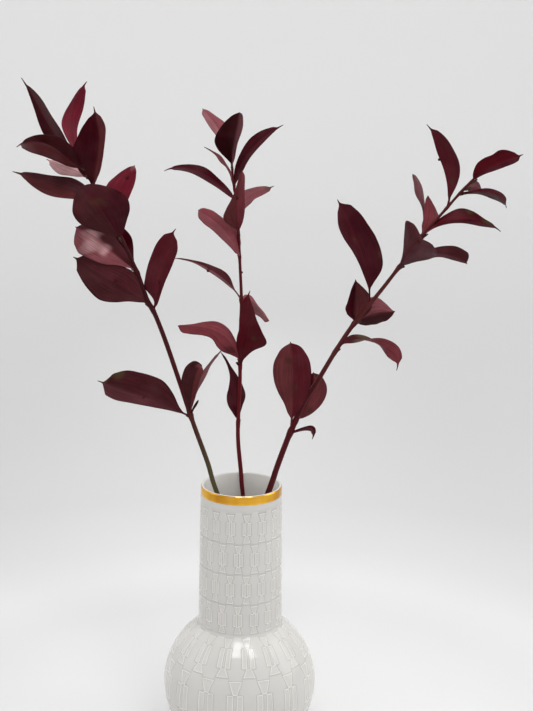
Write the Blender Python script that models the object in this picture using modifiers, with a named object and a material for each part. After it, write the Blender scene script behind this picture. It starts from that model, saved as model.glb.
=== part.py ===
"""Three dried ruscus stems standing in a porcelain vase with a ball foot and a straight neck.

Sizes are in millimetres and are scaled to metres where a mesh is made. +Z is up, the front is -Y, and the
origin is the middle of the vase's flat foot. Each stem with its leaves is one solid, and so is the vase.
"""

import math
import random
from dataclasses import dataclass

import bmesh
import bpy
import numpy as np

MM = 0.001

# Vase
VASE_HEIGHT = 233
NECK_TOP_RADIUS = 34
NECK_FOOT_RADIUS = 35.4
NECK_WALL = 2.7
BULB_RADIUS = 65
BULB_CENTRE_HEIGHT = 56
BULB_WALL = 3.2
FLOOR_THICKNESS = 5
LATHE_STEPS = 40
BULB_ARC_STEPS = 12
LIP_ARC_STEPS = 5

# Stems and leaves
STALK_STEP = 13
BLADE_THICKNESS = 0.65
BLADE_ROWS = 10
BLADE_COLUMNS = 4
WIDTH_PLACES = [0.08, 0.2, 0.35, 0.5, 0.65, 0.8, 0.92]
PETIOLE_HALF_WIDTH = 0.9
TIP_HALF_WIDTH = 0.45
MARGIN_WAVE = 0.8
FINE_STEPS = 200
FRONT = np.array([0.0, -1.0, 0.0])


@dataclass
class Leaf:
    """One leaf. Its midrib runs through evenly spaced points, given from its root, and ends at the last."""

    height: float  # of its root on the stem, above the foot of the vase
    midrib: list
    left: tuple  # half widths at the seven shares of WIDTH_PLACES, on each side of the midrib
    right: tuple
    turn: float  # degrees about the midrib, where 0 shows the upper side to the front
    twist: float = 0  # degrees that the turn gains from root to tip
    fold: float = 12  # degrees that each half rises from the midrib
    petiole: float = 0.05  # share of the length before the blade opens
    mucro: float = 0.05  # share of the length in the needle at its tip


@dataclass
class Stem:
    """One stem: its route from the cut end to the top, how thick it is on the way, and its leaves."""

    name: str
    route: list
    girth: list  # (height, radius), from the foot of the vase up
    colour: tuple
    leaves: list


# Each route starts at the cut end inside the ball and passes the lip of the neck at a height of 233.
LEFT_STEM = Stem(
    "stem_left",
    [
        (51, 25.5, 37.6), (27, 8, 105), (5, -5, 165), (-19.9, -21.7, 233), (-27.4, -27, 260),
        (-39.2, -36, 297), (-49.1, -45, 332), (-59.2, -53, 366), (-66.8, -58, 388), (-72.4, -61, 400),
        (-79.6, -66, 422), (-92, -74, 452), (-109, -82, 487), (-121, -88, 513),
    ],
    [(0, 2), (240, 1.9), (390, 1.75), (430, 1.35), (513, 0.9)],
    (0.16, 0.045, 0.035),
    [
        Leaf(
            509, [(-18, 3, 17), (-30, 5, 37), (-42, 6, 57)],
            (5, 9, 12.5, 13.5, 12, 8, 3.5), (7, 9.5, 10, 8, 5.5, 3.5, 1.5), 45,
        ),
        Leaf(
            511, [(-6, 6, 18), (-3, 9, 37), (6, 10, 53)],
            (4, 5.5, 6.5, 7.5, 8, 7, 4.5), (3, 7.5, 10.5, 9, 6.5, 4, 2), -52,
        ),
        Leaf(
            488, [(3, -8, 16), (6, -13, 31), (6, -17, 45), (3, -18, 59)],
            (5, 7.5, 7, 7, 8, 8.5, 5), (13, 19, 19.5, 18, 15.5, 11.5, 6), 28, -30, 28,
        ),
        Leaf(
            502, [(-11, -7, 7), (-21, -10, 15), (-34, -10, 19), (-48, -6, 15)],
            (4, 8, 9.5, 9.5, 7, 4.5, 2.5), (4, 8, 12, 16, 17, 14, 8), -40, 0, 31,
        ),
        Leaf(
            496, [(-16, 6, 5), (-32, 10, 11)],
            (3, 5, 7, 8, 7.5, 6, 4), (3, 6, 9, 11, 11, 9, 5), 120,
        ),
        Leaf(
            479, [(-21, -3, 6), (-42, -5, 13), (-63, -8, 20)],
            (5, 8.5, 10, 8.5, 6.5, 4.5, 2.5), (4, 7, 10, 11.5, 11, 8, 3), -45,
        ),
        Leaf(
            468, [(9, 8, 18), (19, 10, 35)],
            (6, 10.5, 13.5, 14, 11.5, 7.5, 4), (5.5, 8.5, 9, 8.5, 7.5, 6, 4), -152, 0, 15, mucro=0.02,
        ),
        Leaf(
            447, [(-9, -10, 15), (-18, -20, 30), (-30, -12, 41)],
            (6, 12, 19, 22, 19, 12.5, 6.5), (3.5, 7, 12.5, 17, 18, 16, 11), -5, 0, 8, mucro=0.02,
        ),
        Leaf(
            423, [(-15, -2, 12), (-29, -2, 24), (-46, 0, 33)],
            (2, 5, 11, 14.5, 16.5, 16.5, 13), (5, 7.5, 9.5, 11, 10.5, 9, 6), 150, 0, 10, mucro=0.02,
        ),
        Leaf(
            421, [(-15, 14, 20), (-28, 20, 41)],
            (1.5, 4, 8, 10.5, 10, 7.5, 4.5), (2, 5, 11, 14, 14, 11, 7), -20, 0, 10,
        ),
        Leaf(
            395, [(-18, -8, 15), (-37, -12, 28), (-57, -12, 39)],
            (4, 10.5, 13.5, 12.5, 11.5, 10, 6.5), (3, 7.5, 14.5, 18.5, 17, 13, 8), -15, 0, 8, mucro=0.03,
        ),
        Leaf(
            391, [(4, -5, 17), (7, -8, 34), (11, -9, 51), (18, -10, 65)],
            (3.5, 4.5, 6, 8, 9.5, 9.5, 6), (2, 10, 11.5, 11, 9.5, 8, 5.5), 18, -50, 22,
        ),
        Leaf(
            301, [(-25, -6, 12), (-49, -9, 22), (-73, -10, 31)],
            (3, 11, 17.5, 19, 18.5, 16, 10), (2, 4.5, 8, 10.5, 12.5, 14.5, 12.5), -38, 25, 38,
        ),
        Leaf(
            303, [(2, -8, 18), (5, -12, 35), (10, -14, 44)],
            (2, 3.5, 5, 5.5, 5.5, 5.5, 4.5), (4, 6.5, 9, 10, 10, 9.5, 7.5), 25, -40, 25, mucro=0.01,
        ),
        Leaf(
            304, [(9, 14, 25), (25, 26, 47)],
            (1.5, 2, 2.5, 3, 3.5, 3, 2), (1.5, 2, 2.5, 3, 3.5, 3, 2), 60, 0, 10,
        ),
    ],
)

MIDDLE_STEM = Stem(
    "stem_middle",
    [
        (26, -16, 5.6), (14, 5, 120), (1, 24.6, 214), (-1, 29.3, 233), (-4, 35, 261), (-4, 39, 282),
        (-3, 44, 307), (-3, 48, 328), (-3, 53, 354), (-2.6, 58, 379), (-4.5, 65, 412), (-7, 72, 450),
        (-11, 78, 479), (-13, 82, 499),
    ],
    [(0, 1.9), (240, 1.8), (322, 1.55), (412, 1.25), (499, 0.8)],
    (0.2, 0.02, 0.025),
    [
        Leaf(
            496, [(-10, 14, 22), (-26, 20, 42)],
            (2.5, 3.5, 4.5, 5, 5.5, 5.5, 4.5), (3, 5, 7.5, 9.5, 9.5, 6.5, 4), 147, mucro=0.02,
        ),
        Leaf(
            489, [(1, -9, 17), (4, -14, 32), (6, -14, 48)],
            (5, 8, 8.5, 9, 10, 10.5, 9), (4, 11.5, 16, 16.5, 15, 11.5, 7), 35, -10, 40, mucro=0.01,
        ),
        Leaf(
            472, [(7, 3, 23), (22, 5, 41), (41, 6, 54)],
            (3, 5, 5.5, 5.5, 4.5, 3, 1.5), (2, 4, 6, 7, 7, 6, 3.5), 35, 0, 15,
        ),
        Leaf(
            477, [(-10, 10, 17), (-26, 14, 29)],
            (2.5, 3, 3.5, 3.5, 3, 2.2, 1.5), (2.5, 3, 3.5, 3.5, 3, 2.2, 1.5), -120,
        ),
        Leaf(
            461, [(-17, -3, 17), (-38, -5, 28), (-61, -6, 26)],
            (3, 4.5, 5.5, 6, 5, 3.5, 2), (3.5, 7, 8.5, 8, 7.5, 7, 4), -55, 0, 15,
        ),
        Leaf(
            452, [(7, 10, 10), (18, 16, 16), (31, 22, 21)],
            (4, 6, 8.5, 10.5, 9, 6, 3.5), (4.5, 5, 5.5, 4.5, 4, 3.5, 3), -140,
        ),
        Leaf(
            434, [(-2, -10, 20), (0, -16, 38), (3, -18, 56)],
            (4.5, 8, 9.5, 9, 7.5, 5.5, 4), (4.5, 11, 9, 5.5, 3.5, 2.5, 2), 15, 0, 30, mucro=0.02,
        ),
        Leaf(
            415, [(-8, -6, 17), (-20, -10, 31), (-35, -12, 41)],
            (3.5, 5, 6.5, 7.5, 8, 8, 6.5), (13.5, 16, 14.5, 12.5, 10.5, 9, 6.5), 135, 0, 20, mucro=0.01,
        ),
        Leaf(
            379, [(-15, -8, 19), (-34, -14, 32), (-56, -18, 38)],
            (1.5, 5, 6.5, 5, 3, 1.5, 1), (1.2, 3.5, 5, 4, 2.5, 1.2, 1), -55, 0, 15, petiole=0.1,
        ),
        Leaf(
            379, [(10, 9, -4), (17, 14, -13), (24, 14, -21)],
            (5, 6, 4.5, 3.5, 3.5, 3, 2.5), (4, 5.5, 6.5, 7, 6, 4.5, 4), -120, mucro=0.01,
        ),
        Leaf(
            323, [(5, -8, 18), (7, -13, 35), (6, -14, 52), (8, -12, 68)],
            (2, 6.5, 16.5, 12.5, 8.5, 7, 3.6), (4, 8, 9.5, 8, 8, 6, 3.4), 15, 70, 10, mucro=0.03,
        ),
        Leaf(
            326, [(-12, -2, 20), (-31, -6, 31), (-53, -8, 33)],
            (4, 8.5, 9.5, 6, 6, 7, 6.5), (4, 7.5, 12, 11.5, 7, 2.5, 1), 150, 0, 20, mucro=0.01,
        ),
        Leaf(
            275, [(-2, 8, 20), (-6, 15, 40), (-16, 20, 58)],
            (2.5, 5, 8.5, 7, 4, 1.5, 1), (4.5, 8.5, 9, 5.5, 2.5, 1.5, 1), -15, 60,
        ),
    ],
)

RIGHT_STEM = Stem(
    "stem_right",
    [
        (-52.2, -3, 27.8), (-26, -9, 100), (-0.5, -12.5, 165), (23, -17.3, 233), (29, -21.5, 254),
        (36.8, -25, 278), (43.4, -26, 295), (51.4, -28, 314), (61.8, -30, 332), (73.7, -32, 354),
        (85, -33, 373), (97, -35, 390), (111, -37, 409), (127, -39, 432), (137, -40, 447), (152, -42, 466),
        (166, -43, 483), (176, -44, 494),
    ],
    [(0, 2.7), (240, 2.45), (285, 2.3), (345, 1.85), (410, 1.5), (494, 0.85)],
    (0.13, 0.02, 0.022),
    [
        Leaf(
            472, [(1, -3, 23), (-6, -5, 45), (-19, -6, 63)],
            (2, 6, 10.5, 13, 11.5, 8.5, 5), (2, 3, 4.5, 5.5, 5.5, 4, 2), 44, petiole=0.08,
        ),
        Leaf(
            492, [(11, -4, 10), (24, -7, 16), (37, -8, 22)],
            (2.5, 4, 5, 5.5, 6, 6, 4.5), (4, 7.5, 9, 8.5, 9.5, 8, 4.5), 35, 0, 30,
        ),
        Leaf(
            483, [(13, -6, 2), (26, -9, 0), (35, -8, -10)],
            (4, 6, 7, 8.5, 10.5, 11, 7), (1, 1.5, 3, 4.5, 5.5, 5.5, 4.5), 63, 0, 15,
        ),
        Leaf(
            487, [(8, 6, 0), (15, 10, -2)],
            (3.5, 3.5, 3, 2.5, 2, 1.5, 1), (2, 3, 4.5, 5.5, 5.5, 4, 2), 30, 0, 10,
        ),
        Leaf(
            449, [(2, 8, 16), (-1, 10, 32), (-8, 10, 47)],
            (1, 1, 1.5, 3, 4.5, 4.5, 3), (1, 1.5, 3, 4.5, 5.5, 5.5, 5), 130, 0, 15, mucro=0.01,
        ),
        Leaf(
            449, [(5, 4, 15), (4, 6, 31)],
            (2, 3.5, 4, 4, 4, 3.5, 2.5), (2, 4, 7, 10.5, 7.5, 4, 2), 160, 0, 10, mucro=0.02,
        ),
        Leaf(
            449, [(17, -4, 12), (39, -8, 14), (59, -10, 6)],
            (3, 3, 4.5, 7, 7.5, 6.5, 3.5), (1.5, 3.5, 7, 9.5, 7.5, 3.5, 2), 54, 0, 20,
        ),
        Leaf(
            424, [(6, -14, 15), (14, -30, 27)],
            (3, 8.5, 15.5, 20, 21, 18, 12), (1, 2, 5, 10.5, 16, 20, 14.5), 15, 0, -35, mucro=0.01,
        ),
        Leaf(
            424, [(28, 8, 10), (54, 4, 3)],
            (3, 4.5, 5.5, 4.5, 4.5, 4, 2.5), (2, 3, 4.5, 6, 8, 10.5, 10.5), 52, 0, 10, mucro=0.02,
        ),
        Leaf(
            393, [(-3, -4, 29), (-14, -7, 58), (-27, -8, 84)],
            (4, 12.5, 16, 15.5, 13, 11, 7.5),
            (3, 6, 8.5, 11.5, 14, 12, 6), -32, 20, 30, petiole=0.14, mucro=0.03,
        ),
        Leaf(
            379, [(0, 6, 17), (0, 8, 33)],
            (8, 12, 14, 13.5, 11, 7, 3), (14, 16, 14, 12, 9, 6, 3), -20, 0, 45, mucro=0.02,
        ),
        Leaf(
            379, [(16, 6, 6), (32, 6, 8)],
            (5, 8, 9.5, 10.5, 9.5, 8.5, 5), (5, 10, 14, 16.5, 15, 8, 2.5), 10, 0, -40, mucro=0.02,
        ),
        Leaf(
            355, [(13, -5, 11), (29, -8, 10), (44, -11, 3), (48, -12, -12)],
            (1, 4.5, 7, 7, 7, 6.5, 4), (1, 4.5, 7, 7, 7.5, 6.5, 4), 108, 220, 15,
        ),
        Leaf(
            287, [(1, -7, 26), (1, -12, 52), (-2, -14, 77)],
            (4, 8, 12, 14, 14.5, 13, 9),
            (4, 7, 12, 15.5, 16.5, 14.5, 10), 5, 0, 10, petiole=0.15, mucro=0.02,
        ),
        Leaf(
            296, [(11, 10, 16), (14, 14, 37)],
            (5.5, 8.5, 10, 10, 9.5, 8, 5.5), (3.5, 6.5, 9.5, 12, 13, 11.5, 8), 180, 0, 10, mucro=0.02,
        ),
        Leaf(
            285, [(8, -3, 4), (17, -5, 6), (18, -6, -3)],
            (1, 1.5, 2, 2.5, 3, 3, 2.5), (1, 1, 1.2, 1.5, 2, 2, 1.5), 40, 0, 15,
        ),
    ],
)

STEMS = [LEFT_STEM, MIDDLE_STEM, RIGHT_STEM]


def unit(vectors):
    return vectors / np.maximum(np.linalg.norm(vectors, axis=-1, keepdims=True), 1e-9)


def smooth_route(points, step):
    """Points about a step apart on a Catmull-Rom curve through the given ones."""
    knots = np.array(points, float)
    knots = np.vstack([2 * knots[0] - knots[1], knots, 2 * knots[-1] - knots[-2]])
    found = []
    for before, start, end, after in zip(knots, knots[1:], knots[2:], knots[3:]):
        count = max(1, round(np.linalg.norm(end - start) / step))
        for share in np.arange(count) / count:
            found.append(
                start
                + 0.5 * share * (end - before)
                + share**2 * (before - 2.5 * start + 2 * end - 0.5 * after)
                + share**3 * (1.5 * (start - end) + 0.5 * (after - before))
            )
    found.append(knots[-2])
    return np.array(found)


def curve_through(points, shares):
    """The Lagrange curve through evenly spaced points, at the given shares of its length."""
    places = np.linspace(0, 1, len(points))
    curve = np.zeros((len(shares), 3))
    for index, point in enumerate(points):
        weight = np.ones_like(shares)
        for other, place in enumerate(places):
            if other != index:
                weight *= (shares - place) / (places[index] - place)
        curve += weight[:, None] * np.array(point, float)
    return curve


def carried_normals(tangents):
    """Normals along a midrib: square to it, facing the front at its middle and carried on without turning."""
    middle = len(tangents) // 2
    normals = np.zeros_like(tangents)
    normals[middle] = unit(FRONT - (FRONT @ tangents[middle]) * tangents[middle])
    for step in (1, -1):
        end = len(tangents) if step > 0 else -1
        for index in range(middle + step, end, step):
            last = normals[index - step]
            normals[index] = unit(last - (last @ tangents[index]) * tangents[index])
    return normals


def half_widths(widths, along, pointed):
    """Half widths of a blade at each share of its length, on a smooth curve through its given ones."""
    places = np.array([0, *WIDTH_PLACES, 1])
    before = max(0, widths[0] - (widths[1] - widths[0]) * 0.7)
    after = max(0, widths[-1] - (widths[-2] - widths[-1]) * 0.7)
    values = np.array([before, *widths, after])
    slopes = np.gradient(values, places)
    index = np.clip(np.searchsorted(places, along, "right") - 1, 0, len(places) - 2)
    span = places[index + 1] - places[index]
    share = (along - places[index]) / span
    start, end = values[index], values[index + 1]
    curve = start + (end - start) * share**2 * (3 - 2 * share)
    curve += span * share * (1 - share) * (slopes[index] * (1 - share) - slopes[index + 1] * share)
    opening = np.minimum(along / places[1], 1)
    closing = np.minimum((1 - along) / (1 - places[-2]), 1)
    if not pointed:
        closing = np.sqrt(1 - (1 - closing) ** 2)
    return curve * closing * np.sqrt(1 - (1 - opening) ** 2)


def blade_surface(leaf, root, seed):
    """A function from (share of the length, -1 to 1 across) to a point of the leaf's middle surface."""
    shares = np.linspace(0, 1, FINE_STEPS + 1)
    knots = [(0, 0, 0)] + leaf.midrib
    midrib = curve_through(knots, shares) + root
    tangents = unit(np.gradient(midrib, axis=0))
    carried = carried_normals(tangents)
    angle = np.radians(leaf.turn + leaf.twist * (shares - 0.5))[:, None]
    normals = carried * np.cos(angle) + np.cross(carried, tangents) * np.sin(angle)
    sides = np.cross(normals, tangents)

    along = np.clip((shares - leaf.petiole) / (1 - leaf.petiole - leaf.mucro), 0, 1)
    least = np.where(shares < 0.5, PETIOLE_HALF_WIDTH, TIP_HALF_WIDTH)
    pointed = leaf.mucro > 0.02
    left = np.maximum(half_widths(leaf.left, along, pointed), least)
    right = np.maximum(half_widths(leaf.right, along, pointed), least)
    widest = max(left.max(), right.max())
    draw = random.Random(seed)
    phases = [draw.uniform(0, 2 * math.pi) for _ in range(2)]
    fold = math.radians(leaf.fold)

    def point(share, across):
        index = round(share * FINE_STEPS)
        half = right[index] if across > 0 else left[index]
        wave = MARGIN_WAVE * half / widest * across**2
        wave *= math.sin(4 * math.pi * share + phases[across > 0])
        lift = half * abs(across) * math.sin(fold) + wave
        sideways = half * across * math.cos(fold)
        return midrib[index] + sides[index] * sideways + normals[index] * lift

    return point


def mesh_object(name, bm):
    mesh = bpy.data.meshes.new(name)
    bm.to_mesh(mesh)
    bm.free()
    return bpy.data.objects.new(name, mesh)


def applied(obj):
    """Puts the object's evaluated mesh in place of its own, without its modifiers."""
    graph = bpy.context.evaluated_depsgraph_get()
    mesh = bpy.data.meshes.new_from_object(obj.evaluated_get(graph))
    obj.modifiers.clear()
    obj.data = mesh


def make_blade(leaf, root, seed, collection):
    """One leaf: a grid on its middle surface, split into triangles and given its thickness."""
    surface = blade_surface(leaf, root, seed)
    bm = bmesh.new()
    bmesh.ops.create_grid(bm, x_segments=BLADE_COLUMNS, y_segments=BLADE_ROWS, size=1)
    for vertex in bm.verts:
        # The rows lie closer together towards both ends, where the outline turns most.
        share = (1 - math.cos(math.pi * (vertex.co.y + 1) / 2)) / 2
        vertex.co = surface(share, vertex.co.x) * MM
    bmesh.ops.triangulate(bm, faces=bm.faces)
    blade = mesh_object("blade", bm)
    collection.objects.link(blade)
    solid = blade.modifiers.new("thickness", "SOLIDIFY")
    solid.thickness = BLADE_THICKNESS * MM
    solid.offset = 0
    applied(blade)


def make_stalk(stem, centreline, collection):
    """The bare stem: a tapering round curve with closed ends, as a mesh."""
    curve = bpy.data.curves.new(stem.name, "CURVE")
    curve.dimensions = "3D"
    curve.bevel_depth = MM
    curve.bevel_resolution = 1
    curve.use_fill_caps = True
    spline = curve.splines.new("POLY")
    spline.points.add(len(centreline) - 1)
    heights, radii = zip(*stem.girth)
    for point, place in zip(spline.points, centreline):
        point.co = (*(place * MM), 1)
        point.radius = np.interp(place[2], heights, radii)
    wire = bpy.data.objects.new("stalk", curve)
    collection.objects.link(wire)
    graph = bpy.context.evaluated_depsgraph_get()
    mesh = bpy.data.meshes.new_from_object(wire.evaluated_get(graph))
    bpy.data.objects.remove(wire)
    bm = bmesh.new()
    bm.from_mesh(mesh)
    bmesh.ops.remove_doubles(bm, verts=bm.verts, dist=1e-6)
    stalk = mesh_object(stem.name, bm)
    collection.objects.link(stalk)
    return stalk


def make_stem(stem, seed, collection):
    """A stem and its leaves, joined into one solid whose origin is the cut end."""
    centreline = smooth_route(stem.route, STALK_STEP)
    stalk = make_stalk(stem, centreline, collection)
    blades = bpy.data.collections.new("blades")
    bpy.context.scene.collection.children.link(blades)
    for index, leaf in enumerate(stem.leaves):
        root = [np.interp(leaf.height, centreline[:, 2], centreline[:, axis]) for axis in range(3)]
        make_blade(leaf, np.array(root), seed + index, blades)
    union = stalk.modifiers.new("leaves", "BOOLEAN")
    union.operation = "UNION"
    union.operand_type = "COLLECTION"
    union.collection = blades
    union.solver = "EXACT"
    applied(stalk)
    for blade in list(blades.objects):
        bpy.data.objects.remove(blade)
    bpy.data.collections.remove(blades)
    cut_end = centreline[0] * MM
    for vertex in stalk.data.vertices:
        vertex.co = [value - start for value, start in zip(vertex.co, cut_end)]
    stalk.location = cut_end
    return stalk


def ball_arc(radius, low, high, steps):
    """(radius, height) points on the ball's section, from one height to the other."""
    first = math.asin((low - BULB_CENTRE_HEIGHT) / radius)
    last = math.asin((high - BULB_CENTRE_HEIGHT) / radius)
    angles = [first + (last - first) * step / steps for step in range(steps + 1)]
    return [(radius * math.cos(a), BULB_CENTRE_HEIGHT + radius * math.sin(a)) for a in angles]


def vase_profile():
    """(radius, height) points from the middle of the floor, up the inside, over the lip and down."""
    inner_ball = BULB_RADIUS - BULB_WALL
    inner_neck = NECK_FOOT_RADIUS - NECK_WALL
    outer_joint = BULB_CENTRE_HEIGHT + math.sqrt(BULB_RADIUS**2 - NECK_FOOT_RADIUS**2)
    inner_joint = BULB_CENTRE_HEIGHT + math.sqrt(inner_ball**2 - inner_neck**2)
    inside = ball_arc(inner_ball, FLOOR_THICKNESS, inner_joint, BULB_ARC_STEPS)
    lip_radius = NECK_WALL / 2
    lip_middle = NECK_TOP_RADIUS - lip_radius
    lip = []
    for step in range(LIP_ARC_STEPS + 1):
        angle = math.pi * (1 - step / LIP_ARC_STEPS)
        across = lip_radius * math.cos(angle)
        up = lip_radius * math.sin(angle)
        lip.append((lip_middle + across, VASE_HEIGHT - lip_radius + up))
    outside = ball_arc(BULB_RADIUS, outer_joint, 0, BULB_ARC_STEPS)
    return [(0, FLOOR_THICKNESS)] + inside + lip + outside + [(0, 0)]


def make_vase(collection):
    """The vase: its profile turned about the upright axis by a Screw modifier."""
    bm = bmesh.new()
    places = [bm.verts.new((radius * MM, 0, height * MM)) for radius, height in vase_profile()]
    for start, end in zip(places, places[1:]):
        bm.edges.new((start, end))
    vase = mesh_object("vase", bm)
    collection.objects.link(vase)
    screw = vase.modifiers.new("turned", "SCREW")
    screw.steps = LATHE_STEPS
    screw.render_steps = LATHE_STEPS
    screw.use_merge_vertices = True
    screw.merge_threshold = 1e-5
    screw.use_smooth_shade = True
    return vase


def give_material(obj, colour, roughness):
    material = bpy.data.materials.new(obj.name)
    material.use_nodes = True
    shader = material.node_tree.nodes["Principled BSDF"]
    shader.inputs["Base Color"].default_value = (*colour, 1)
    shader.inputs["Roughness"].default_value = roughness
    shader.inputs["Metallic"].default_value = 0
    obj.data.materials.clear()
    obj.data.materials.append(material)


def main():
    for obj in list(bpy.data.objects):
        bpy.data.objects.remove(obj)
    collection = bpy.data.collections.new("dried_ruscus")
    bpy.context.scene.collection.children.link(collection)
    foot = bpy.data.objects.new("foot_of_vase", None)
    collection.objects.link(foot)
    vase = make_vase(collection)
    vase.parent = foot
    give_material(vase, (0.82, 0.82, 0.81), 0.12)
    for number, stem in enumerate(STEMS):
        stalk = make_stem(stem, 100 * (number + 1), collection)
        stalk.parent = foot
        give_material(stalk, stem.colour, 0.45)


if __name__ == "__main__":
    main()
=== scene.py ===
"""The looks of three dried ruscus stems in a porcelain vase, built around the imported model.

Tables are in millimetres and degrees, and meshes are scaled to metres as they are made. +Z is up and the
front is -Y. Each leafy stem is one piece that stands for its CAD node, and so is the vase.
"""

import math
from dataclasses import dataclass

import bmesh
import bpy
import numpy as np
from mathutils import Matrix, Vector

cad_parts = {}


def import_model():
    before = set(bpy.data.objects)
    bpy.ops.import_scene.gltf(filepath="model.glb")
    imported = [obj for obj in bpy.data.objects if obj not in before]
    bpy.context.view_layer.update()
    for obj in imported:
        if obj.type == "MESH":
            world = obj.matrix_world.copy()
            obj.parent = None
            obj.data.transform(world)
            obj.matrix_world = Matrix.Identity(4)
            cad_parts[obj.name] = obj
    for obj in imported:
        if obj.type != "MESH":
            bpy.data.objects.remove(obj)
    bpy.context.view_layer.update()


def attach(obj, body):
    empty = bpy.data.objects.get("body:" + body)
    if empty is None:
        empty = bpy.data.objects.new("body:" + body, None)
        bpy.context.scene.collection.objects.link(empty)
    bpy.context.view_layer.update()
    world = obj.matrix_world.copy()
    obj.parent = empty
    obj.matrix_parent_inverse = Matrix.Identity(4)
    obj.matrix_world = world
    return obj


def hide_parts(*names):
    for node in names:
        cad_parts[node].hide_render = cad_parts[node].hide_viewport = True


MM = 0.001


def srgb(red, green, blue):
    """A linear colour from 0-255 screen values."""
    shares = [value / 255 for value in (red, green, blue)]
    return [s / 12.92 if s <= 0.04045 else ((s + 0.055) / 1.055) ** 2.4 for s in shares]


# Leaf colours, darkest first
NIGHT = srgb(41, 0, 4)
DEEP = srgb(56, 1, 12)
WINE = srgb(61, 14, 23)
UMBER = srgb(62, 25, 28)
BROWN = srgb(70, 27, 32)
PLUM = srgb(79, 40, 45)
CRIMSON = srgb(80, 21, 31)
SCARLET = srgb(74, 9, 20)
RUST = srgb(94, 43, 46)
HEATHER = srgb(102, 62, 66)
RUBY = srgb(103, 25, 40)
ROSE = srgb(113, 51, 57)
PINK = srgb(125, 69, 75)
PALE = srgb(142, 89, 94)
# Pale pink of the painted sheen and highlights on some leaves
SHEEN_PINK = srgb(198, 152, 155)
OLIVE = srgb(78, 66, 42)
RUSSET = srgb(68, 40, 30)
TIP_BROWN = srgb(78, 58, 48)
SCAR = srgb(36, 8, 10)

# Vase colours
GLAZE_GREY = srgb(199, 197, 193)
GLAZE_WHITE = srgb(204, 202, 198)
SPECK = srgb(110, 98, 84)
GILT_DARK = srgb(206, 144, 42)
GILT_LIGHT = srgb(248, 190, 68)

# Stem colours
STEM_WINE = srgb(70, 14, 20)
STEM_DARK = srgb(56, 14, 18)
STEM_CRIMSON = srgb(82, 12, 20)
STEM_OLIVE = srgb(74, 66, 42)
STEM_BROWN = srgb(66, 38, 28)
STEM_RUST = srgb(76, 30, 30)
CUT_WOOD = srgb(168, 140, 104)


@dataclass
class Leaf:
    """One leaf. Its midrib runs through evenly spaced points, given from its root, and ends at the last."""

    height: float  # of its root, above the foot of the vase
    midrib: list
    left: tuple  # half widths at WIDTH_PLACES, on each side of the midrib
    right: tuple
    turn: float  # degrees about the midrib, where 0 shows the upper side to the front
    fold: float = 12  # degrees that each half rises from the midrib
    twist: float = 0  # degrees that the turn gains from root to tip
    petiole: float = 0.05  # share of the length before the blade opens
    tip: float = 0.05  # share of the length in the needle at its tip
    upper: tuple = None  # its colour on each face, or that of the left and of the right half, which differ to paint the light, shade and sheen on each half
    under: tuple = None
    scar: float = None  # where along its midrib a flower has left a dark knot
    stains_and_sheen: list = ()  # (along, across, size, colour) of each stain, and of each patch of painted sheen


@dataclass
class Stem:
    """One stem with its leaves, from its cut end to its top."""

    name: str
    slot: str
    route: list
    girth: list  # (height, radius), upwards
    colours: list  # (height, colour), upwards
    nubs: list  # (place, radius) of each small knot on it or on a leaf's edge
    spurs: list  # (height, way) of each bare spike, out from the stem
    leaves: list


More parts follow.
